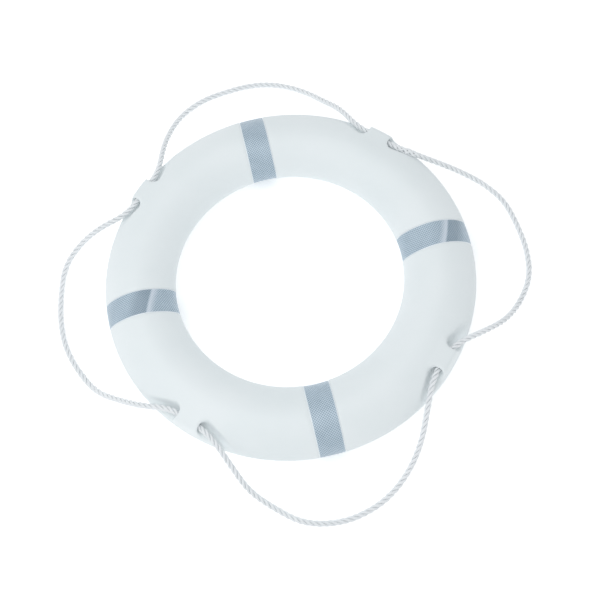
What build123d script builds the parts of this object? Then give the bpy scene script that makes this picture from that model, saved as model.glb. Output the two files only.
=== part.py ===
"""Ring lifebuoy: a foam-filled moulded ring with four rope lugs, four reflective bands and a grab line.

Frame: the origin is the centre of the ring, on the surface that its back rests on, with +Z up.
The reflective bands lie on the X and Y axes, and the lugs halfway between them.
Lengths are in millimetres and angles in degrees.
"""
from build123d import *

import os
from math import cos, hypot, pi, radians, sin, tan

# Ring body
OUTSIDE_DIA = 720.0
INSIDE_DIA = 444.0
HALF_WIDTH = (OUTSIDE_DIA - INSIDE_DIA) / 4      # half the width of the oval section
MID_RADIUS = INSIDE_DIA / 2 + HALF_WIDTH         # radius of the section's centre
HALF_THICK = 51.0                                # half the thickness of the oval section
FULLNESS = 0.45                                  # fullness of the oval's shoulders: 0.55 is an ellipse
REST_LAND_DEPTH = 0.3                            # the back is flattened by this much, to rest on
MID_HEIGHT = HALF_THICK - REST_LAND_DEPTH        # height of the parting plane
WALL = 3.0                                       # moulded wall

# Rope lugs: bridges of the same moulding, each between two scooped pockets.
# A lug's face and its top leave the ring along tangents, at these shares of the outer quarter.
LUG_ANGLES = (45.0, 135.0, 225.0, 315.0)
LUG_HALF_ANGLE = 5.0
LUG_SPARE_ANGLE = 0.5                            # the pockets trim this off each end
LUG_FACE_START = 0.045
LUG_TOP_START = 0.8
LUG_EDGE_ROUND = 8.0
LUG_SINK = 0.3                                   # how far its faces dip into the ring at their ends
HOLE_RADIUS = 7.5
HOLE_AXIS_RADIUS = 340.0                         # distance of the hole's axis from the ring's centre
HOLE_AXIS_HEIGHT = 75.5
HOLE_FLARE = 4.0                                 # rounding of the hole's mouths
HOLE_HALF_SPAN = 26.5                            # from the lug's middle to a mouth
HOLE_RUNOUT = 4.5                                # how far its mouth runs on into the pocket's corner

# Scooped pockets, where the rope runs in along a tangent
POCKET_FLOOR = 62.5
POCKET_HEIGHT = 55.0
POCKET_INNER_RADIUS = 331.0                      # the foot of its inner wall, where that meets the lug
POCKET_OPENING_ANGLE = 11.0                      # the inner wall turns outwards by this much
POCKET_LENGTH = 110.0
POCKET_DRAFT = 15.0
POCKET_CORNER = 6.0
POCKET_ROOT = 5.0
POCKET_REACH = 400.0                             # well outside the ring

# Reflective bands, each in a shallow moulded groove round the section
BAND_ANGLES = {"right": 0.0, "top": 90.0, "left": 180.0, "bottom": 270.0}
BAND_WIDTH = 50.8
BAND_THICK = 0.35
BAND_GLUE_GAP = 0.05
BAND_LAP_START = 36.0                            # section angle where the tape's tail begins
BAND_LAP_ANGLE = 24.0
GROOVE_WIDTH = 53.0
GROOVE_DEPTH = 1.0
BAND_SWEEP = 16.0                                # angle about the ring that holds a whole band

# Foam filling hole and its vent on the back: angle round the ring, stem radius, head radius
PLUGS = {"filler_plug": (202.5, 8.0, 12.0), "vent_plug": (22.5, 4.0, 7.0)}
PLUG_SEAT = 2.2                                  # depth of the recess for its head
PLUG_HEAD_THICK = 1.5
PLUG_HEAD_GAP = 0.3
PLUG_STEM_LENGTH = 7.0
PLUG_STEM_GAP = 0.05
PLUG_FOAM_GAP = 0.5
PLUG_ROUND = 0.5

# Grab line, and the splice that joins its two ends
ROPE_DIA = 11.5
ARC_SHARE = 0.45                                 # share of the shorter run that a bend takes up
SPLICE_END_RADIUS = 6.0
SPLICE_MID_RADIUS = 8.3
SPLICE_SPARE = 5.0                               # run past each end, then cut off face to face

# Route of the grab line, from the splice beside the first lug, round the ring and back to it.
# Between two lugs it drops from the holes to the surface that the ring lies on.
ROUTE = [
    (266.0, 215.0, 75.5), (238.5, 242.3, 75.5), (205.0, 281.0, 75.0),
    (185.0, 337.0, 59.0), (160.0, 380.0, 31.0), (130.0, 425.0, 10.0), (82.0, 459.0, 6.0),
    (25.0, 475.0, 6.0), (-33.0, 473.0, 6.0), (-91.0, 465.0, 6.0),
    (-142.0, 436.0, 10.0), (-171.0, 389.0, 31.0), (-188.0, 340.0, 59.0), (-203.0, 286.0, 75.0),
    (-231.0, 250.5, 75.5), (-250.5, 231.0, 75.5), (-287.0, 201.0, 75.0),
    (-343.0, 195.0, 59.5), (-393.0, 183.0, 32.0), (-435.0, 151.0, 10.5), (-452.0, 94.0, 6.0),
    (-461.0, 38.0, 6.0), (-459.0, -20.0, 6.0), (-440.0, -76.0, 6.0),
    (-412.0, -125.0, 10.5), (-367.0, -158.0, 32.0), (-327.0, -186.5, 61.5), (-275.0, -208.0, 75.0),
    (-250.5, -230.5, 75.5), (-230.0, -250.0, 75.5), (-205.0, -287.0, 75.0),
    (-184.0, -339.0, 60.0), (-164.0, -385.0, 33.0), (-127.0, -421.0, 11.0), (-84.0, -458.0, 6.0),
    (-27.0, -474.0, 6.0), (30.0, -470.0, 6.0), (83.0, -450.0, 6.0),
    (128.0, -415.0, 11.0), (161.0, -375.0, 33.0), (183.0, -330.0, 60.0), (205.0, -280.0, 75.0),
    (229.5, -249.0, 75.5), (249.0, -229.5, 75.5), (283.0, -213.0, 75.0),
    (334.0, -200.0, 59.5), (383.0, -180.0, 32.0), (424.0, -146.0, 10.5), (460.0, -99.0, 6.0),
    (472.0, -42.0, 6.0), (470.0, 15.0, 6.0), (461.0, 74.0, 6.0),
    (429.0, 122.0, 10.5), (385.0, 150.0, 32.0), (341.0, 167.0, 59.5), (310.0, 182.0, 72.5),
]


def section_plane(angle):
    """Upright plane through the ring's axis: local x is the radius and local y is the height."""
    a = radians(angle)
    return Plane(origin=(0, 0, 0), x_dir=(cos(a), sin(a), 0), z_dir=(sin(a), -cos(a), 0))


def plan_plane(angle, height):
    """Level plane turned to a lug or a band: local x is radial and local y is tangential."""
    a = radians(angle)
    return Plane(origin=(0, 0, height), x_dir=(cos(a), sin(a), 0), z_dir=(0, 0, 1))


def hole_plane(angle):
    """Upright plane along a lug's hole: local x runs along the hole and local y is the height."""
    a = radians(angle)
    centre = (HOLE_AXIS_RADIUS * cos(a), HOLE_AXIS_RADIUS * sin(a), HOLE_AXIS_HEIGHT)
    return Plane(origin=centre, x_dir=(-sin(a), cos(a), 0), z_dir=(cos(a), sin(a), 0))


def quarter(inset, way_x, way_y):
    """A quarter of the oval section, from its side to its crown or back, inset below the surface."""
    half_w = way_x * (HALF_WIDTH - inset)
    half_t = way_y * (HALF_THICK - inset)
    side = (MID_RADIUS + half_w, MID_HEIGHT)
    side_pull = (MID_RADIUS + half_w, MID_HEIGHT + FULLNESS * half_t)
    crown_pull = (MID_RADIUS + FULLNESS * half_w, MID_HEIGHT + half_t)
    crown = (MID_RADIUS, MID_HEIGHT + half_t)
    return Bezier(side, side_pull, crown_pull, crown)


def oval(inset):
    """The whole oval section, inset below the moulded surface."""
    with BuildSketch() as section:
        with BuildLine():
            for way_x, way_y in ((1, 1), (-1, 1), (-1, -1), (1, -1)):
                add(quarter(inset, way_x, way_y))
        make_face()
    return section.sketch


def ring_solid(inset):
    """Plain ring with a flat back, inset below the moulded surface."""
    with BuildPart() as ring:
        with BuildSketch(section_plane(0)):
            add(oval(inset))
            with Locations((MID_RADIUS, inset - HALF_THICK)):
                Rectangle(4 * HALF_WIDTH, 2 * HALF_THICK, mode=Mode.SUBTRACT)
        revolve(axis=Axis.Z)
    return ring.part


def tangent_start(curve, share):
    """A point just below a section curve, and the curve's direction there."""
    way = (curve % share).normalized()
    return curve @ share + Vector(-way.Y, way.X) * LUG_SINK, way


def lug_outline(inset):
    """Lug section: a tangent face and a tangent top that meet in a corner, closed inside the ring."""
    crown = quarter(inset, 1, 1)
    low, up = tangent_start(crown, LUG_FACE_START)
    top, inwards = tangent_start(crown, LUG_TOP_START)
    gap = top - low
    reach = (gap.X * inwards.Y - gap.Y * inwards.X) / (up.X * inwards.Y - up.Y * inwards.X)
    corner = low + up * reach
    return [(MID_RADIUS, MID_HEIGHT), (low.X, low.Y), (corner.X, corner.Y), (top.X, top.Y)]


def lug_solid(angle, inset):
    """One lug, inset below the moulded surface, with its outer corner rounded."""
    half_angle = LUG_HALF_ANGLE + LUG_SPARE_ANGLE
    outline = lug_outline(inset)
    with BuildPart() as lug:
        with BuildSketch(section_plane(angle - half_angle)) as section:
            Polygon(*outline, align=None)
            fillet(max(section.vertices(), key=lambda v: v.X + v.Y), LUG_EDGE_ROUND - inset)
        revolve(axis=Axis.Z, revolution_arc=2 * half_angle)
    return lug.part


def pocket_tool(angle, side, margin):
    """Cutter for the scooped pocket on one side of a lug, grown by a margin on every wall."""
    wall_slope = tan(radians(LUG_HALF_ANGLE))
    inner = POCKET_INNER_RADIUS - margin
    near = inner * wall_slope - margin
    far_radius = inner + POCKET_LENGTH * tan(radians(POCKET_OPENING_ANGLE))
    outline = [
        (inner, side * near),
        (POCKET_REACH, side * (POCKET_REACH * wall_slope - margin)),
        (POCKET_REACH, side * (near + POCKET_LENGTH)),
        (far_radius, side * (near + POCKET_LENGTH)),
    ]
    with BuildPart() as pocket:
        with BuildSketch(plan_plane(angle, POCKET_FLOOR - margin)) as plan:
            Polygon(*outline[::side], align=None)
            fillet(min(plan.vertices(), key=lambda v: hypot(v.X, v.Y)), POCKET_CORNER)
        extrude(amount=POCKET_HEIGHT, taper=-POCKET_DRAFT)
        fillet(pocket.faces().sort_by(Axis.Z)[0].edges(), POCKET_ROOT)
    return pocket.part


def hole_tool(angle, radius, half_span):
    """Cutter for the rope hole along the tangent through a lug, with rounded mouths."""
    along = hole_plane(angle)
    mouth = radius + HOLE_FLARE
    neck = half_span - HOLE_FLARE
    end = half_span + HOLE_RUNOUT
    with BuildPart() as hole:
        with BuildSketch(along):
            with BuildLine():
                Polyline((-half_span, mouth), (-end, mouth), (-end, 0), (end, 0), (end, mouth),
                         (half_span, mouth))
                RadiusArc((half_span, mouth), (neck, radius), -HOLE_FLARE)
                Line((neck, radius), (-neck, radius))
                RadiusArc((-neck, radius), (-half_span, mouth), -HOLE_FLARE)
            make_face()
        revolve(axis=Axis(origin=along.origin, direction=along.x_dir))
    return hole.part


def moulded_solid(inset):
    """The ring with its lugs, pockets and rope holes, inset below the moulded surface."""
    with BuildPart() as body:
        add(ring_solid(inset))
        for angle in LUG_ANGLES:
            add(lug_solid(angle, inset))
        for angle in LUG_ANGLES:
            add(pocket_tool(angle, 1, inset), mode=Mode.SUBTRACT)
            add(pocket_tool(angle, -1, inset), mode=Mode.SUBTRACT)
            add(hole_tool(angle, HOLE_RADIUS + inset, HOLE_HALF_SPAN + inset / 3), mode=Mode.SUBTRACT)
    return body.part


def section_ring(angle, width, outer_inset, inner_inset, lap_inset=None):
    """Sleeve of parallel width round the section, with a thicker lap where a tape's ends overlap."""
    with BuildPart() as sleeve:
        with BuildSketch(section_plane(angle - BAND_SWEEP / 2)):
            if lap_inset is not None:
                add(oval(lap_inset))
                with Locations((MID_RADIUS, MID_HEIGHT)):
                    reach = 2 * HALF_WIDTH
                    a = radians(BAND_LAP_START)
                    b = radians(BAND_LAP_START + BAND_LAP_ANGLE)
                    wedge = [(0, 0), (reach * cos(a), reach * sin(a)), (reach * cos(b), reach * sin(b))]
                    Polygon(*wedge, align=None, mode=Mode.INTERSECT)
            add(oval(outer_inset))
            add(oval(inner_inset), mode=Mode.SUBTRACT)
        revolve(axis=Axis.Z, revolution_arc=BAND_SWEEP)
        with Locations(plan_plane(angle, MID_HEIGHT)):
            with Locations((MID_RADIUS, 0, 0)):
                Box(4 * HALF_WIDTH, width, 4 * HALF_THICK, mode=Mode.INTERSECT)
    return sleeve.part


def back_cylinder(angle, radius, bottom, top):
    """Upright cylinder over the middle of the ring's back, for the plugs and their seats."""
    with BuildPart() as cylinder:
        with BuildSketch(plan_plane(angle, bottom)):
            with Locations((MID_RADIUS, 0)):
                Circle(radius)
        extrude(amount=top - bottom)
    return cylinder.part


def corner_radii(points):
    """Bend radius at each inner point of a route: as large as its two runs allow."""
    radii = []
    for before, here, after in zip(points, points[1:], points[2:]):
        run_in = Vector(here) - Vector(before)
        run_out = Vector(after) - Vector(here)
        half_turn = radians(run_in.get_angle(run_out)) / 2
        radii.append(ARC_SHARE * min(run_in.length, run_out.length) / tan(half_turn))
    return radii


def write(part, name):
    """Labels a finished piece and writes its STEP file."""
    part.label = name
    export_step(part, f"parts/{name}.step")


os.makedirs("parts", exist_ok=True)

# Foam core: fills the moulding, clear of the plugs' bosses
with BuildPart() as foam_filling:
    add(moulded_solid(WALL))
    for angle, stem_radius, head_radius in PLUGS.values():
        boss = back_cylinder(angle, head_radius + WALL, -1, PLUG_SEAT + WALL)
        add(boss, mode=Mode.SUBTRACT)

with BuildPart() as foam_core:
    add(foam_filling.part)
    for angle, stem_radius, head_radius in PLUGS.values():
        stem_top = PLUG_SEAT + PLUG_STEM_LENGTH + PLUG_FOAM_GAP
        add(back_cylinder(angle, stem_radius + PLUG_FOAM_GAP, 0, stem_top), mode=Mode.SUBTRACT)
write(foam_core.part, "foam_core")

# Outer shell: one hollow moulding, with grooves for the bands and seats for the plugs
with BuildPart() as outer_shell:
    add(moulded_solid(0))
    for angle in BAND_ANGLES.values():
        add(section_ring(angle, GROOVE_WIDTH, -2 * GROOVE_DEPTH, GROOVE_DEPTH), mode=Mode.SUBTRACT)
    add(foam_filling.part, mode=Mode.SUBTRACT)
    for angle, stem_radius, head_radius in PLUGS.values():
        add(back_cylinder(angle, head_radius + PLUG_HEAD_GAP, -1, PLUG_SEAT), mode=Mode.SUBTRACT)
        add(back_cylinder(angle, stem_radius + PLUG_STEM_GAP, 0, PLUG_SEAT + 2 * WALL), mode=Mode.SUBTRACT)
write(outer_shell.part, "outer_shell")

# Reflective bands: tape wrapped once round the section, its tail over its start
for place, angle in BAND_ANGLES.items():
    inner_inset = GROOVE_DEPTH - BAND_GLUE_GAP
    outer_inset = inner_inset - BAND_THICK
    with BuildPart() as reflective_band:
        add(section_ring(angle, BAND_WIDTH, outer_inset, inner_inset, outer_inset - BAND_THICK))
    write(reflective_band.part, f"reflective_band_{place}")

# Plugs that close the foam's filling hole and its vent
for name, (angle, stem_radius, head_radius) in PLUGS.items():
    with BuildPart() as plug:
        add(back_cylinder(angle, head_radius, PLUG_SEAT - PLUG_HEAD_THICK, PLUG_SEAT))
        add(back_cylinder(angle, stem_radius, PLUG_SEAT, PLUG_SEAT + PLUG_STEM_LENGTH))
        ends = plug.faces().filter_by(Axis.Z).sort_by(Axis.Z)
        fillet([ends[0].outer_wire().edges()[0], ends[-1].outer_wire().edges()[0]], PLUG_ROUND)
    write(plug.part, name)

# Grab line
radii = corner_radii(ROUTE)
with BuildPart() as grab_line:
    with BuildLine() as route:
        FilletPolyline(*ROUTE, radius=radii)
    start = route.line @ 0
    with BuildSketch(Plane(origin=start, z_dir=route.line % 0)):
        Circle(ROPE_DIA / 2)
    sweep(path=route.line)
write(grab_line.part, "grab_line")

# Splice: the strands of both ends tucked into each other, thickest in the middle.
# Each of its ends is cut in the plane of the rope's own end.
splice_start = Vector(*ROUTE[0])
splice_line = Vector(*ROUTE[-1]) - splice_start
splice_x = splice_line.normalized()
splice_side = Vector(0, 0, 1).cross(splice_x)
splice_end = splice_line.length + SPLICE_SPARE
with BuildPart() as line_splice:
    with BuildSketch(Plane(origin=splice_start, x_dir=splice_x, z_dir=splice_side)):
        with BuildLine():
            Polyline((-SPLICE_SPARE, SPLICE_END_RADIUS), (-SPLICE_SPARE, 0), (splice_end, 0),
                     (splice_end, SPLICE_END_RADIUS))
            ThreePointArc((splice_end, SPLICE_END_RADIUS), (splice_line.length / 2, SPLICE_MID_RADIUS),
                          (-SPLICE_SPARE, SPLICE_END_RADIUS))
        make_face()
    revolve(axis=Axis(origin=splice_start, direction=splice_x))
    split(bisect_by=Plane(origin=route.line @ 0, z_dir=route.line % 0), keep=Keep.BOTTOM)
    split(bisect_by=Plane(origin=route.line @ 1, z_dir=route.line % 1), keep=Keep.TOP)
write(line_splice.part, "line_splice")

rope_length = sum(edge.length for edge in route.line.edges())
tube_volume = pi * (ROPE_DIA / 2) ** 2 * rope_length
print(f"grab line: length {rope_length:.0f} mm, volume {grab_line.part.volume:.0f} of {tube_volume:.0f}")
print("bend radii:", " ".join(f"{radius:.0f}" for radius in radii))
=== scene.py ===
import math

import bmesh
import bpy
import numpy as np
from mathutils import Matrix, Vector
from mathutils.bvhtree import BVHTree


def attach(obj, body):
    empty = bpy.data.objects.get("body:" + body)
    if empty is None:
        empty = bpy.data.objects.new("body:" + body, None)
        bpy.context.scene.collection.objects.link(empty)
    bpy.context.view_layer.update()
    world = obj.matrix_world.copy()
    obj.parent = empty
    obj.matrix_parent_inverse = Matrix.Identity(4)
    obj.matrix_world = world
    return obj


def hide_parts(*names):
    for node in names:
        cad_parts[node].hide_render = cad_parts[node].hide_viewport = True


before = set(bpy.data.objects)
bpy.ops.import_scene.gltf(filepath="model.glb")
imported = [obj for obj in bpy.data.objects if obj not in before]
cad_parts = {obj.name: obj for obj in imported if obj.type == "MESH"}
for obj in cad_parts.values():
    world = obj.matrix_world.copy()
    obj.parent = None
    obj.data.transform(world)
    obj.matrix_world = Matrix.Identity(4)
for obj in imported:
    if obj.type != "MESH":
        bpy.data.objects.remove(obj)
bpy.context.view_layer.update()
BODY = "root"

# Oval section of the ring, as in the CAD model, in metres
MID_RADIUS = 0.291
MID_HEIGHT = 0.0507
HALF_WIDTH = 0.069
HALF_THICK = 0.051
FULLNESS = 0.45

# Shell: the moulding's corners are softened round the lugs
SHELL_VOXEL = 0.0020
CAVITY_REACH = 0.0008                           # a shell face this close to the foam lines the cavity
LUG_ANGLES = (45.0, 135.0, 225.0, 315.0)
LUG_ZONE = 0.135                                # reach of a lug's pockets, to each side of its middle
LUG_FADE = 0.02                                 # the softening fades out over this length
SOFT_HEIGHT = 0.045                             # only what is above this height is softened
SOFT_RADIUS = 0.295                             # and only what is outside this radius
SOFT_FADE = 0.01
SOFTENING_PASSES = 12
SNAP_DISTANCE = 0.0006                          # points this near the oval are put exactly on it
GROOVE_WIDTH = 0.053
GROOVE_DEPTH = 0.001
SHELL_TRIANGLES = 190000

# Reflective bands
BAND_ANGLES = {"right": 0.0, "top": 90.0, "left": 180.0, "bottom": 270.0}
BAND_WIDTH = 0.0508
BAND_OUTER_INSET = 0.0006                       # the groove is 1 mm deep, and the tape 0.35 mm thick
BAND_INNER_INSET = 0.00095
BAND_STEPS_AROUND = 240
BAND_STEPS_ACROSS = 20
# Section angles where the tails end, measured from the outer side
TAIL_ENDS = {"right": 68.0, "top": 300.0, "left": 118.0, "bottom": 300.0}
TAIL_ANGLE = 24.0
CELL_PITCH = 0.0052                             # sealed cells of the tape
SEALED_EDGE = 0.0019                            # pale margin without cells
EDGE_BLUR = 0.0003
CREASE_SLANT = 0.40                             # slope of the tail's crease across the tape, which the painted shade and painted highlight follow

# Grab line
ROPE_DIA = 0.0115
STRANDS = 3
STRAND_RADIUS = 0.00276
HELIX_RADIUS = ROPE_DIA / 2 - STRAND_RADIUS
LAY = 0.036                                     # length of one full turn of the strands
CROWDING = 0.5                                  # how far a strand's buried side is flattened
YARNS = 7                                       # yarns that show round one strand
YARN_TURN = (HELIX_RADIUS + STRAND_RADIUS) / STRAND_RADIUS * 2 * math.pi / LAY
STRAND_SIDES = 14
SIDES_OUTWARD = 0.45                            # how far its points are gathered where they show
ROPE_STEP = 0.0020
SPLICE_STEP = 0.0011
SPLICE_LEAD = 0.012                             # straight run of the splice from each rope end
SPLICE_CORE_RADIUS = 0.0040
SPLICE_TUCK_IN, SPLICE_TUCK_OUT = 0.0031, 0.0056
TUCK_TIGHTNESS = 0.8                            # turns of the tucked strands, to those of the rope's own
TUCKS = 3.6                                     # times a tucked strand goes under along the splice

# The grab line's route, from the splice beside the first lug, round the ring and back to it
ROUTE = [
    (0.2660, 0.2150, 0.0755), (0.2385, 0.2423, 0.0755), (0.2050, 0.2810, 0.0750),
    (0.1850, 0.3370, 0.0590), (0.1600, 0.3800, 0.0310), (0.1300, 0.4250, 0.0100),
    (0.0820, 0.4590, 0.0060), (0.0250, 0.4750, 0.0060), (-0.0330, 0.4730, 0.0060),
    (-0.0910, 0.4650, 0.0060), (-0.1420, 0.4360, 0.0100), (-0.1710, 0.3890, 0.0310),
    (-0.1880, 0.3400, 0.0590), (-0.2030, 0.2860, 0.0750), (-0.2310, 0.2505, 0.0755),
    (-0.2505, 0.2310, 0.0755), (-0.2870, 0.2010, 0.0750), (-0.3430, 0.1950, 0.0595),
    (-0.3930, 0.1830, 0.0320), (-0.4350, 0.1510, 0.0105), (-0.4520, 0.0940, 0.0060),
    (-0.4610, 0.0380, 0.0060), (-0.4590, -0.0200, 0.0060), (-0.4400, -0.0760, 0.0060),
    (-0.4120, -0.1250, 0.0105), (-0.3670, -0.1580, 0.0320), (-0.3270, -0.1865, 0.0615),
    (-0.2750, -0.2080, 0.0750), (-0.2505, -0.2305, 0.0755), (-0.2300, -0.2500, 0.0755),
    (-0.2050, -0.2870, 0.0750), (-0.1840, -0.3390, 0.0600), (-0.1640, -0.3850, 0.0330),
    (-0.1270, -0.4210, 0.0110), (-0.0840, -0.4580, 0.0060), (-0.0270, -0.4740, 0.0060),
    (0.0300, -0.4700, 0.0060), (0.0830, -0.4500, 0.0060), (0.1280, -0.4150, 0.0110),
    (0.1610, -0.3750, 0.0330), (0.1830, -0.3300, 0.0600), (0.2050, -0.2800, 0.0750),
    (0.2295, -0.2490, 0.0755), (0.2490, -0.2295, 0.0755), (0.2830, -0.2130, 0.0750),
    (0.3340, -0.2000, 0.0595), (0.3830, -0.1800, 0.0320), (0.4240, -0.1460, 0.0105),
    (0.4600, -0.0990, 0.0060), (0.4720, -0.0420, 0.0060), (0.4700, 0.0150, 0.0060),
    (0.4610, 0.0740, 0.0060), (0.4290, 0.1220, 0.0105), (0.3850, 0.1500, 0.0320),
    (0.3410, 0.1670, 0.0595), (0.3100, 0.1820, 0.0725),
]


# ---------------------------------------------------------------- materials

class Material:
    """A material's node tree, with short calls to add nodes and join them."""

    def __init__(self, name):
        self.material = bpy.data.materials.new(name)
        self.material.use_nodes = True
        self.tree = self.material.node_tree
        self.shader = self.tree.nodes["Principled BSDF"]

    def node(self, kind, inputs=None, **settings):
        made = self.tree.nodes.new(kind)
        for name, value in settings.items():
            setattr(made, name, value)
        for name, value in (inputs or {}).items():
            self.put(value, made.inputs[name])
        return made

    def put(self, value, socket):
        """Sets a socket to a plain value, or links another node's output to it."""
        if isinstance(value, bpy.types.NodeSocket):
            self.tree.links.new(value, socket)
        else:
            socket.default_value = value

    def math(self, operation, *values):
        made = self.node("ShaderNodeMath", operation=operation)
        for value, socket in zip(values, made.inputs):
            self.put(value, socket)
        return made.outputs[0]

    def place(self, scale=(1, 1, 1)):
        """Object coordinates, stretched."""
        where = self.node("ShaderNodeTexCoord").outputs["Object"]
        return self.node("ShaderNodeMapping", {"Vector": where, "Scale": scale}).outputs["Vector"]

    def noise(self, scale, detail=3.0, roughness=0.5, vector=None):
        made = self.node("ShaderNodeTexNoise", {"Scale": scale, "Detail": detail, "Roughness": roughness})
        self.put(vector or self.place(), made.inputs["Vector"])
        return made.outputs["Fac"]

    def spread(self, value, low, high, to_low, to_high):
        """A value taken from one range to another, and kept inside it."""
        made = self.node("ShaderNodeMapRange", {"From Min": low, "From Max": high,
                                                "To Min": to_low, "To Max": to_high})
        self.put(value, made.inputs["Value"])
        return made.outputs["Result"]

    def mix(self, share, first, second):
        made = self.node("ShaderNodeMix", data_type="RGBA")
        self.put(share, made.inputs["Factor"])
        self.put(first, made.inputs["A"])
        self.put(second, made.inputs["B"])
        return made.outputs["Result"]

    def bump(self, height, distance, strength=1.0, below=None):
        made = self.node("ShaderNodeBump", {"Height": height, "Distance": distance, "Strength": strength})
        if below is not None:
            self.put(below, made.inputs["Normal"])
        return made.outputs["Normal"]

    def finish(self, **sockets):
        for name, value in sockets.items():
            self.put(value, self.shader.inputs[name.replace("_", " ")])
        return self.material


def shell_material():
    """Satin polyethylene: soft clouding, a fine moulded grain and light scuffs."""
    m = Material("shell_plastic")
    cloud = m.noise(7.0, 4.0, 0.55)
    grain = m.noise(900.0, 2.0, 0.6)
    peel = m.noise(120.0, 2.0, 0.5)
    sag = m.noise(16.0, 1.0, 0.4)
    scuffs = m.noise(55.0, 6.0, 0.75, m.place((1.0, 6.0, 3.0)))
    scuff_mask = m.spread(scuffs, 0.62, 0.72, 0.0, 1.0)
    clean = m.mix(m.spread(cloud, 0.3, 0.7, 0.0, 1.0), (0.800, 0.850, 0.862, 1), (0.840, 0.880, 0.892, 1))
    colour = m.mix(m.math("MULTIPLY", scuff_mask, 0.35), clean, (0.72, 0.76, 0.77, 1))
    rough = m.math("ADD", m.spread(cloud, 0.3, 0.7, 0.46, 0.56), m.math("MULTIPLY", scuff_mask, 0.08))
    low = m.bump(sag, 0.0006, 0.5)
    fine = m.bump(peel, 0.00012, 0.5, low)
    normal = m.bump(grain, 0.00003, 0.6, fine)
    return m.finish(Base_Color=colour, Roughness=rough, Normal=normal, IOR=1.51)


def tape_material():
    """Retro-reflective tape: blue-grey beads in diamond cells, pale walls and edges, creased at its tail,
    with painted shade on the stretch before the crease and a painted highlight along it.
    """
    m = Material("reflective_tape")
    flat = m.node("ShaderNodeUVMap", uv_map="tape").outputs["UV"]
    parts = m.node("ShaderNodeSeparateXYZ", {"Vector": flat})
    along, across = parts.outputs["X"], parts.outputs["Y"]
    walls = None
    for slope in (1.0, -1.0):
        lane = m.math("ADD", m.math("DIVIDE", along, CELL_PITCH),
                      m.math("MULTIPLY", m.math("DIVIDE", across, CELL_PITCH), slope))
        wave = m.math("ABSOLUTE", m.math("SUBTRACT", m.math("FRACT", lane), 0.5))
        wall = m.spread(wave, 0.36, 0.44, 0.0, 1.0)
        walls = wall if walls is None else m.math("MAXIMUM", walls, wall)
    inside = m.spread(m.math("ABSOLUTE", across), BAND_WIDTH / 2 - SEALED_EDGE - EDGE_BLUR,
                      BAND_WIDTH / 2 - SEALED_EDGE, 1.0, 0.0)
    wear = m.noise(45.0, 4.0, 0.6)
    beads = m.noise(2600.0, 1.0, 0.5)
    worn = m.spread(wear, 0.35, 0.65, 0.0, 1.0)
    bead_colour = m.mix(worn, (0.205, 0.298, 0.382, 1), (0.270, 0.368, 0.458, 1))
    bead_colour = m.mix(m.math("MULTIPLY", beads, 0.2), bead_colour, (0.55, 0.63, 0.69, 1))
    celled = m.mix(m.math("MULTIPLY", walls, 0.85), bead_colour, (0.76, 0.86, 0.94, 1))
    slant = m.math("ADD", along, m.math("MULTIPLY", across, CREASE_SLANT))
    # Painted shade: the tape is darkened over about 30 mm before the tail's crease, standing in for the
    # reflective tape looking darker there at this angle of light and view.
    painted_tail_shade = m.math("MULTIPLY", m.spread(slant, -0.046, -0.026, 0.0, 1.0),
                       m.spread(slant, -0.006, -0.003, 1.0, 0.0))
    celled = m.mix(m.math("MULTIPLY", painted_tail_shade, 0.45), celled, (0.14, 0.20, 0.26, 1))
    # Painted highlight: a pale stripe along the tail's crease, where the lapped tape catches the light.
    painted_crease_highlight = m.math("MULTIPLY", m.spread(slant, -0.005, -0.001, 0.0, 1.0),
                    m.spread(slant, 0.001, 0.012, 1.0, 0.0))
    celled = m.mix(m.math("MULTIPLY", painted_crease_highlight, 0.7), celled, (0.72, 0.78, 0.86, 1))
    colour = m.mix(inside, (0.86, 0.91, 0.94, 1), celled)
    height = m.math("MULTIPLY", walls, inside)
    normal = m.bump(height, 0.00012, 0.8, m.bump(wear, 0.0005, 0.4))
    rough = m.spread(wear, 0.3, 0.7, 0.36, 0.46)
    return m.finish(Base_Color=colour, Roughness=rough, Normal=normal, Metallic=0.1,
                    Coat_Weight=0.2, Coat_Roughness=0.3)


def rope_material():
    """White polypropylene strands of twisted yarns, a little fuzzy, with painted shade between the yarns and
    deeper painted shade between the strands.
    """
    m = Material("rope_fibre")
    flat = m.node("ShaderNodeUVMap", uv_map="yarn").outputs["UV"]
    parts = m.node("ShaderNodeSeparateXYZ", {"Vector": flat})
    along, turn = parts.outputs["X"], parts.outputs["Y"]
    ridge = m.math("SINE", m.math("MULTIPLY", turn, 2 * math.pi))
    yarn = m.spread(ridge, -1.0, 1.0, 0.0, 1.0)
    threads = m.node("ShaderNodeCombineXYZ", {"X": m.math("MULTIPLY", along, 90.0),
                                              "Y": m.math("MULTIPLY", turn, 6.0)})
    fibre = m.noise(1.0, 3.0, 0.6, threads.outputs["Vector"])
    dirt = m.noise(22.0, 3.0, 0.5)
    bright = m.mix(m.spread(dirt, 0.35, 0.7, 0.0, 1.0), (0.90, 0.915, 0.93, 1), (0.85, 0.87, 0.885, 1))
    # Painted shade: the valleys between the yarns are greyed.
    colour = m.mix(m.math("MULTIPLY", m.math("SUBTRACT", 1.0, yarn), 0.14), bright, (0.60, 0.65, 0.68, 1))
    # Painted shade: points deep in the rope, between the strands, are darkened.
    depth = m.node("ShaderNodeAttribute", attribute_name="depth").outputs["Fac"]
    colour = m.mix(m.spread(depth, 0.45, 0.88, 0.32, 0.0), colour, (0.62, 0.68, 0.71, 1))
    rough = m.spread(fibre, 0.3, 0.7, 0.50, 0.68)
    normal = m.bump(fibre, 0.00015, 0.5, m.bump(yarn, 0.00025, 0.7))
    return m.finish(Base_Color=colour, Roughness=rough, Normal=normal, Sheen_Weight=0.25, Sheen_Roughness=0.4)


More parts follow.
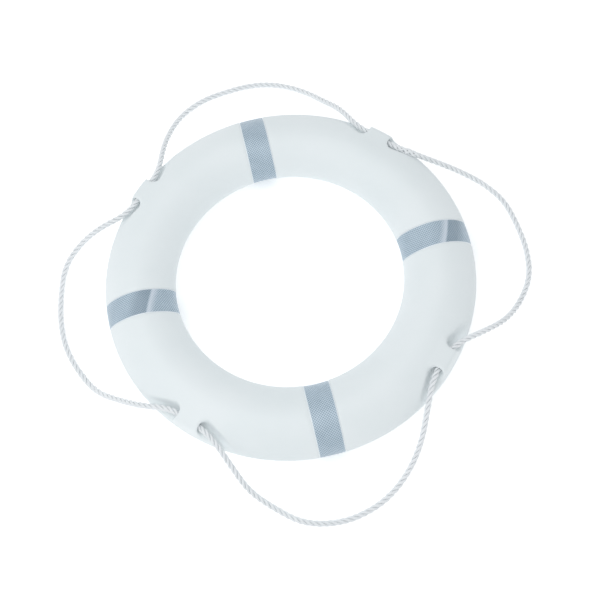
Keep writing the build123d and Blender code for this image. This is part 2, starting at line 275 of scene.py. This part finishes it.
def plug_material():
    """Injection-moulded plug, a shade greyer than the shell, with a fine grain."""
    m = Material("plug_plastic")
    tone = m.noise(60.0, 3.0, 0.5)
    grain = m.noise(1400.0, 2.0, 0.6)
    colour = m.mix(m.spread(tone, 0.3, 0.7, 0.0, 1.0), (0.62, 0.66, 0.68, 1), (0.70, 0.73, 0.75, 1))
    rough = m.spread(tone, 0.3, 0.7, 0.35, 0.48)
    return m.finish(Base_Color=colour, Roughness=rough, Normal=m.bump(grain, 0.00004, 0.6), IOR=1.5)


def foam_material():
    """Rigid polyurethane foam: cream, with open cells in a skin."""
    m = Material("rigid_foam")
    cells = m.node("ShaderNodeTexVoronoi", {"Scale": 420.0, "Vector": m.place()}).outputs["Distance"]
    tone = m.noise(14.0, 4.0, 0.6)
    colour = m.mix(m.spread(tone, 0.3, 0.7, 0.0, 1.0), (0.82, 0.73, 0.48, 1), (0.90, 0.84, 0.62, 1))
    rough = m.spread(cells, 0.0, 0.6, 0.75, 0.95)
    return m.finish(Base_Color=colour, Roughness=rough, Normal=m.bump(cells, 0.0006, 0.8))


# ---------------------------------------------------------------- meshes

def new_piece(name, vertices, faces, material, replaced, uv_name, uv, depth=None):
    """Adds a mesh piece that rides on the object and stands for its CAD nodes."""
    mesh = bpy.data.meshes.new(name)
    mesh.from_pydata([tuple(v) for v in vertices], [], [tuple(f) for f in faces])
    mesh.materials.append(material)
    mesh.polygons.foreach_set("use_smooth", [True] * len(mesh.polygons))
    layer = mesh.uv_layers.new(name=uv_name)
    layer.data.foreach_set("uv", np.asarray(uv, np.float32).ravel())
    if depth is not None:
        depths = mesh.attributes.new("depth", "FLOAT", "POINT")
        depths.data.foreach_set("value", np.asarray(depth, np.float32))
    mesh.update()
    piece = link(mesh, name)
    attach(piece, BODY)
    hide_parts(*replaced)
    return piece


def section_points(inset, count):
    """Points round the oval section, from its outer side over the crown, as radius and height."""
    half_w = HALF_WIDTH - inset
    half_t = HALF_THICK - inset
    share = np.linspace(0, 1, count // 4, endpoint=False)
    u = 1 - share
    side = u ** 3 + 3 * u ** 2 * share + 3 * u * share ** 2 * FULLNESS
    rise = 3 * u ** 2 * share * FULLNESS + 3 * u * share ** 2 + share ** 3
    first = np.stack([side * half_w, rise * half_t], 1)
    quarters = [first]
    back_side = np.concatenate([[0.0], side[:0:-1]])
    back_rise = np.concatenate([[1.0], rise[:0:-1]])
    quarters.append(np.stack([-back_side * half_w, back_rise * half_t], 1))
    quarters.append(np.stack([-side * half_w, -rise * half_t], 1))
    quarters.append(np.stack([back_side * half_w, -back_rise * half_t], 1))
    return np.concatenate(quarters) + (MID_RADIUS, MID_HEIGHT)


def link(mesh, name):
    piece = bpy.data.objects.new(name, mesh)
    bpy.context.scene.collection.objects.link(piece)
    return piece


def with_modifier(piece, kind, **settings):
    """Applies one modifier to a piece's mesh."""
    modifier = piece.modifiers.new(kind, kind)
    for name, value in settings.items():
        setattr(modifier, name, value)
    bpy.context.view_layer.update()
    changed = bpy.data.meshes.new_from_object(piece.evaluated_get(bpy.context.evaluated_depsgraph_get()))
    piece.modifiers.clear()
    piece.data = changed


def outer_skin():
    """The shell's outer surface: its CAD mesh without the faces that line the cavity, closed at the plugs."""
    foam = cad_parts["foam_core"].data
    cavity = BVHTree.FromPolygons([v.co for v in foam.vertices], [p.vertices for p in foam.polygons])
    skin = bmesh.new()
    skin.from_mesh(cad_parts["outer_shell"].data)
    bmesh.ops.remove_doubles(skin, verts=skin.verts, dist=1e-6)
    lining = [f for f in skin.faces
              if cavity.find_nearest(f.calc_center_median(), CAVITY_REACH)[0] is not None]
    bmesh.ops.delete(skin, geom=lining, context="FACES")
    loose = [e for e in skin.edges if e.is_boundary]
    bmesh.ops.holes_fill(skin, edges=loose, sides=0)
    mesh = bpy.data.meshes.new("moulded_shell")
    skin.to_mesh(mesh)
    skin.free()
    return mesh


def oval_reach(section_angle, inset):
    """Distance from the section's centre to its surface, at each section angle."""
    points = section_points(inset, 1440) - (MID_RADIUS, MID_HEIGHT)
    angles = np.arctan2(points[:, 1], points[:, 0])
    order = np.argsort(angles)
    return np.interp(section_angle, angles[order], np.hypot(points[:, 0], points[:, 1])[order],
                     period=2 * math.pi)


def from_middle(flat, angles):
    """How far each point is, along the tangent, from the nearest of the ring's stations at these angles."""
    nearest = np.full(len(flat), 9.0)
    for angle in angles:
        turn = math.radians(angle)
        ahead = flat @ (math.cos(turn), math.sin(turn)) > 0
        along = np.abs(flat @ (-math.sin(turn), math.cos(turn)))
        nearest = np.where(ahead, np.minimum(nearest, along), nearest)
    return nearest


def true_to_section(places):
    """Puts the points that lie on the plain ring exactly on its oval, so that it shades smoothly."""
    radius = np.hypot(places[:, 0], places[:, 1])
    side, rise = radius - MID_RADIUS, places[:, 2] - MID_HEIGHT
    section_angle, reach = np.arctan2(rise, side), np.hypot(side, rise)
    grooved = from_middle(places[:, :2], BAND_ANGLES.values()) < GROOVE_WIDTH / 2
    wanted = np.where(grooved, oval_reach(section_angle, GROOVE_DEPTH), oval_reach(section_angle, 0.0))
    near = np.abs(reach - wanted) < SNAP_DISTANCE
    resting = places[:, 2] < SNAP_DISTANCE
    scale = np.where(near & ~resting, wanted / np.maximum(reach, 1e-6), 1.0)
    new_radius = MID_RADIUS + side * scale
    places[:, :2] *= (new_radius / radius)[:, None]
    places[:, 2] = MID_HEIGHT + rise * scale
    return places


def softened(mesh, places):
    """Rounds the corners of the lugs and pockets, as a blown moulding has them."""
    edges = np.empty(len(mesh.edges) * 2, np.int64)
    mesh.edges.foreach_get("vertices", edges)
    first, second = edges[0::2], edges[1::2]
    count = np.bincount(edges, minlength=len(places))
    apart = from_middle(places[:, :2], LUG_ANGLES)
    radius = np.hypot(places[:, 0], places[:, 1])
    share = np.clip((LUG_ZONE - apart) / LUG_FADE, 0, 1)
    share *= np.clip((places[:, 2] - SOFT_HEIGHT) / SOFT_FADE, 0, 1)
    share *= np.clip((radius - SOFT_RADIUS) / SOFT_FADE, 0, 1)
    for _ in range(SOFTENING_PASSES):
        total = np.stack([np.bincount(first, places[second, i], len(places))
                          + np.bincount(second, places[first, i], len(places)) for i in range(3)], 1)
        places = places + (total / count[:, None] - places) * (0.5 * share)[:, None]
    return places


def moulded_shell(material):
    """The moulding's closed outer skin, with soft shoulders on the lugs and pockets."""
    piece = link(outer_skin(), "moulded_shell")
    with_modifier(piece, "REMESH", mode="VOXEL", voxel_size=SHELL_VOXEL, adaptivity=0.0)
    mesh = piece.data
    places = np.empty(len(mesh.vertices) * 3)
    mesh.vertices.foreach_get("co", places)
    places = softened(mesh, true_to_section(places.reshape(-1, 3)))
    mesh.vertices.foreach_set("co", places.ravel())
    with_modifier(piece, "DECIMATE", ratio=SHELL_TRIANGLES / (2 * len(mesh.polygons)))
    piece.data.polygons.foreach_set("use_smooth", [True] * len(piece.data.polygons))
    piece.data.materials.clear()
    piece.data.materials.append(material)
    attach(piece, BODY)
    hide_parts("outer_shell")


def sleeve_quads(rows, columns, first, outward):
    """Quads of a grid that closes on itself along its rows."""
    faces = []
    for row in range(rows):
        for column in range(columns - 1):
            a = first + row * columns + column
            b = first + (row + 1) % rows * columns + column
            quad = (a, b, b + 1, a + 1)
            faces.append(quad if outward else quad[::-1])
    return faces


def reflective_band(place, angle, material):
    """One tape, wrapped once round the section, its tail over its start."""
    rows, columns = BAND_STEPS_AROUND, BAND_STEPS_ACROSS + 1
    turn = math.radians(angle)
    radial = np.array((math.cos(turn), math.sin(turn)))
    tangent = np.array((-math.sin(turn), math.cos(turn)))
    across = np.linspace(-BAND_WIDTH / 2, BAND_WIDTH / 2, columns)
    outer = section_points(BAND_OUTER_INSET, rows)
    inner = section_points(BAND_INNER_INSET, rows)
    centred = outer - (MID_RADIUS, MID_HEIGHT)
    section_angle = np.degrees(np.arctan2(centred[:, 1], centred[:, 0])) % 360
    tail_end = TAIL_ENDS[place]
    tail = (section_angle > tail_end - TAIL_ANGLE) & (section_angle < tail_end)
    outward = centred / np.linalg.norm(centred, axis=1)[:, None]
    outer = outer + outward * np.where(tail, BAND_INNER_INSET - BAND_OUTER_INSET, 0)[:, None]
    steps = np.linalg.norm(np.roll(outer, -1, 0) - outer, axis=1)
    along = np.concatenate([[0.0], np.cumsum(steps)])
    along -= along[np.argmin(np.abs(section_angle - tail_end))]
    vertices = []
    for section in (outer, inner):
        for radius, height in section:
            for t in across:
                x = math.sqrt(radius * radius - t * t)
                flat = radial * x + tangent * t
                vertices.append((flat[0], flat[1], height))
    faces = sleeve_quads(rows, columns, 0, True) + sleeve_quads(rows, columns, rows * columns, False)
    uv = []
    for facing_out in (True, False):
        for row in range(rows):
            for column in range(columns - 1):
                corners = [(along[row], across[column]), (along[row + 1], across[column]),
                           (along[row + 1], across[column + 1]), (along[row], across[column + 1])]
                uv += corners if facing_out else corners[::-1]
    for column in (0, columns - 1):
        for row in range(rows):
            a = row * columns + column
            b = (row + 1) % rows * columns + column
            c, d = b + rows * columns, a + rows * columns
            faces.append((a, d, c, b) if column == 0 else (a, b, c, d))
            corners = [(along[row], across[column]), (along[row + 1], across[column])]
            uv += [corners[0], corners[0], corners[1], corners[1]] if column == 0 else \
                [corners[0], corners[1], corners[1], corners[0]]
    name = f"tape_{place}"
    new_piece(name, vertices, faces, material, [f"reflective_band_{place}"], "tape", uv)


def route_points(points, name="route", resolution=16):
    """Points on the smooth line that a cord follows, read from a NURBS spline."""
    curve = bpy.data.curves.new(name, "CURVE")
    curve.dimensions = "3D"
    spline = curve.splines.new("NURBS")
    spline.points.add(len(points) - 1)
    for point, place in zip(spline.points, points):
        point.co = (*place, 1)
    spline.order_u = 3
    spline.use_endpoint_u = True
    curve.resolution_u = resolution
    line = bpy.data.objects.new(name, curve)
    bpy.context.scene.collection.objects.link(line)
    bpy.context.view_layer.update()
    mesh = bpy.data.meshes.new_from_object(line)
    found = np.array([v.co for v in mesh.vertices], float)
    bpy.data.objects.remove(line)
    bpy.data.curves.remove(curve)
    bpy.data.meshes.remove(mesh)
    return found


class Line:
    """A smooth line with distances along it and a frame that doesn't twist."""

    def __init__(self, points, step):
        gaps = np.linalg.norm(np.diff(points, axis=0), axis=1)
        points = points[np.concatenate([[True], gaps > 1e-7])]
        gaps = gaps[gaps > 1e-7]
        reach = np.concatenate([[0.0], np.cumsum(gaps)])
        self.length = reach[-1]
        self.s = np.linspace(0, self.length, max(2, round(self.length / step)) + 1)
        self.at = np.stack([np.interp(self.s, reach, points[:, i]) for i in range(3)], 1)
        way = np.gradient(self.at, axis=0)
        self.way = way / np.linalg.norm(way, axis=1)[:, None]
        up = np.array((0.0, 0.0, 1.0))
        side = up - self.way[0] * up.dot(self.way[0])
        side = side / np.linalg.norm(side)
        sides = [side]
        for direction in self.way[1:]:
            side = side - direction * side.dot(direction)
            side = side / np.linalg.norm(side)
            sides.append(side)
        self.side = np.array(sides)
        self.up = np.cross(self.way, self.side)


def strand_tube(line, turn, helix, radius, yarn_turn):
    """Vertices, faces and UVs of one strand: helix and radius are its offset and size along the line."""
    out = line.side * np.cos(turn)[:, None] + line.up * np.sin(turn)[:, None]
    centre = line.at + out * helix[:, None]
    way = np.gradient(centre, axis=0)
    way = way / np.linalg.norm(way, axis=1)[:, None]
    out = out - way * np.sum(out * way, 1)[:, None]
    out = out / np.linalg.norm(out, axis=1)[:, None]
    across = np.cross(way, out)
    sides = STRAND_SIDES
    even = np.linspace(0, 2 * math.pi, sides + 1)
    rounds = even - SIDES_OUTWARD * np.sin(even)
    size = 1 - CROWDING * np.clip(-np.cos(rounds[:-1]) - 0.1, 0, 1)
    ring = (out[:, None, :] * (size * np.cos(rounds[:-1]))[None, :, None]
            + across[:, None, :] * np.sin(rounds[:-1])[None, :, None])
    vertices = (centre[:, None, :] + ring * radius[:, None, None]).reshape(-1, 3)
    faces, uv = [], []
    count = len(line.s)
    twist = yarn_turn * YARNS * line.s / (2 * math.pi)
    for i in range(count - 1):
        for j in range(sides):
            k = (j + 1) % sides
            faces.append((i * sides + j, i * sides + k, (i + 1) * sides + k, (i + 1) * sides + j))
            low, high = YARNS * rounds[j] / (2 * math.pi), YARNS * rounds[j + 1] / (2 * math.pi)
            uv += [(line.s[i], low + twist[i]), (line.s[i], high + twist[i]),
                   (line.s[i + 1], high + twist[i + 1]), (line.s[i + 1], low + twist[i + 1])]
    last = (count - 1) * sides
    faces.append(tuple(range(sides))[::-1])
    faces.append(tuple(range(last, last + sides)))
    uv += [(0.0, YARNS * j / sides) for j in range(sides)] * 2
    # depth drives the painted shade between the strands in the rope's material
    depth = np.linalg.norm(vertices - np.repeat(line.at, sides, 0), axis=1) / (ROPE_DIA / 2)
    return vertices, faces, uv, depth


def joined(tubes):
    """Several tubes as the vertices, faces, UVs and depths of one mesh."""
    vertices, faces, uv, depth = [], [], [], []
    for tube_vertices, tube_faces, tube_uv, tube_depth in tubes:
        first = len(vertices)
        vertices += list(tube_vertices)
        faces += [tuple(first + v for v in face) for face in tube_faces]
        uv += tube_uv
        depth += list(tube_depth)
    return vertices, faces, uv, depth


def grab_line(material):
    """The rope: three strands laid round the route."""
    line = Line(route_points(ROUTE), ROPE_STEP)
    ones = np.ones(len(line.s))
    tubes = []
    for strand in range(STRANDS):
        turn = 2 * math.pi * (strand / STRANDS + line.s / LAY)
        tubes.append(strand_tube(line, turn, ones * HELIX_RADIUS, ones * STRAND_RADIUS, YARN_TURN))
    vertices, faces, uv, depth = joined(tubes)
    piece = new_piece("grab_rope", vertices, faces, material, ["grab_line"], "yarn", uv, depth)
    return piece, line


def rope_splice(material, rope):
    """The splice: the rope's strands run on, and the other end's strands are tucked over and under them."""
    points = route_points([rope.at[0], rope.at[0] - rope.way[0] * SPLICE_LEAD,
                           rope.at[-1] + rope.way[-1] * SPLICE_LEAD, rope.at[-1]], "splice_route")
    line = Line(points, SPLICE_STEP)
    share = line.s / line.length
    swell = np.sin(math.pi * share)
    tubes = []
    for strand in range(STRANDS):
        turn = 2 * math.pi * (strand / STRANDS + line.s / LAY)
        helix = HELIX_RADIUS + (SPLICE_CORE_RADIUS - HELIX_RADIUS) * swell
        tubes.append(strand_tube(line, turn, helix, np.full(len(share), STRAND_RADIUS), YARN_TURN))
    for strand in range(STRANDS):
        turn = 2 * math.pi * ((strand + 0.5) / STRANDS - line.s / LAY * TUCK_TIGHTNESS)
        weave = 0.5 - 0.5 * np.cos(2 * math.pi * (share * TUCKS + strand / STRANDS))
        helix = (SPLICE_TUCK_IN + (SPLICE_TUCK_OUT - SPLICE_TUCK_IN) * weave) * (0.45 + 0.55 * swell)
        radius = STRAND_RADIUS * (0.35 + 0.5 * np.sqrt(swell))
        tubes.append(strand_tube(line, turn, helix, radius, -YARN_TURN))
    vertices, faces, uv, depth = joined(tubes)
    return new_piece("rope_splice", vertices, faces, material, ["line_splice"], "yarn", uv, depth)


# ---------------------------------------------------------------- the object

def paint(node_name, material):
    """Gives a CAD node its material."""
    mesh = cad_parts[node_name].data
    mesh.materials.clear()
    mesh.materials.append(material)


plastic = shell_material()
paint("outer_shell", plastic)
moulded_shell(plastic)
paint("foam_core", foam_material())
plug = plug_material()
paint("filler_plug", plug)
paint("vent_plug", plug)

tape = tape_material()
for place, angle in BAND_ANGLES.items():
    reflective_band(place, angle, tape)

fibre = rope_material()
rope, rope_line = grab_line(fibre)
splice = rope_splice(fibre, rope_line)


# ---------------------------------------------------------------- studio

def floor():
    """Large pale floor."""
    m = Material("floor_paper")
    tone = m.noise(3.0, 2.0, 0.5)
    colour = m.mix(tone, (0.90, 0.90, 0.90, 1), (0.93, 0.93, 0.93, 1))
    paper = m.finish(Base_Color=colour, Roughness=0.9, Emission_Color=(1, 1, 1, 1), Emission_Strength=0.34)
    size = 40.0
    mesh = bpy.data.meshes.new("floor")
    corners = [(-size, -size, 0), (size, -size, 0), (size, size, 0), (-size, size, 0)]
    mesh.from_pydata(corners, [], [(0, 1, 2, 3)])
    mesh.materials.append(paper)
    ground = bpy.data.objects.new("floor", mesh)
    bpy.context.scene.collection.objects.link(ground)


def area_light(name, place, aim, size, power):
    """Soft round light that faces a point."""
    data = bpy.data.lights.new(name, "AREA")
    data.shape = "DISK"
    data.size = size
    data.energy = power
    light = bpy.data.objects.new(name, data)
    light.location = place
    light.rotation_euler = (Vector(aim) - Vector(place)).to_track_quat("-Z", "Y").to_euler()
    bpy.context.scene.collection.objects.link(light)


def camera():
    """Looks down at the ring from the bottom band's side, with a slight roll."""
    data = bpy.data.cameras.new("camera")
    data.sensor_width = 36.0
    data.lens = 61.18
    data.clip_end = 50.0
    eye = Vector((-0.0500, -0.7623, 1.8796))
    aim = Vector((0.0111, -0.0313, 0.0))
    turned = (aim - eye).to_track_quat("-Z", "Y").to_matrix() @ Matrix.Rotation(math.radians(-8.85), 3, "Z")
    seen_by = bpy.data.objects.new("camera", data)
    seen_by.matrix_world = Matrix.Translation(eye) @ turned.to_4x4()
    bpy.context.scene.collection.objects.link(seen_by)
    bpy.context.scene.camera = seen_by


def studio():
    """Pale surroundings and one large soft key light from the left."""
    world = bpy.data.worlds.new("studio")
    world.use_nodes = True
    world.node_tree.nodes["Background"].inputs["Color"].default_value = (0.95, 0.98, 1.0, 1)
    world.node_tree.nodes["Background"].inputs["Strength"].default_value = 0.67
    bpy.context.scene.world = world
    area_light("key", (-1.0, -0.3, 2.8), (0, 0, 0), 3.0, 32)
    bpy.context.scene.view_settings.view_transform = "Standard"


floor()
studio()
camera()
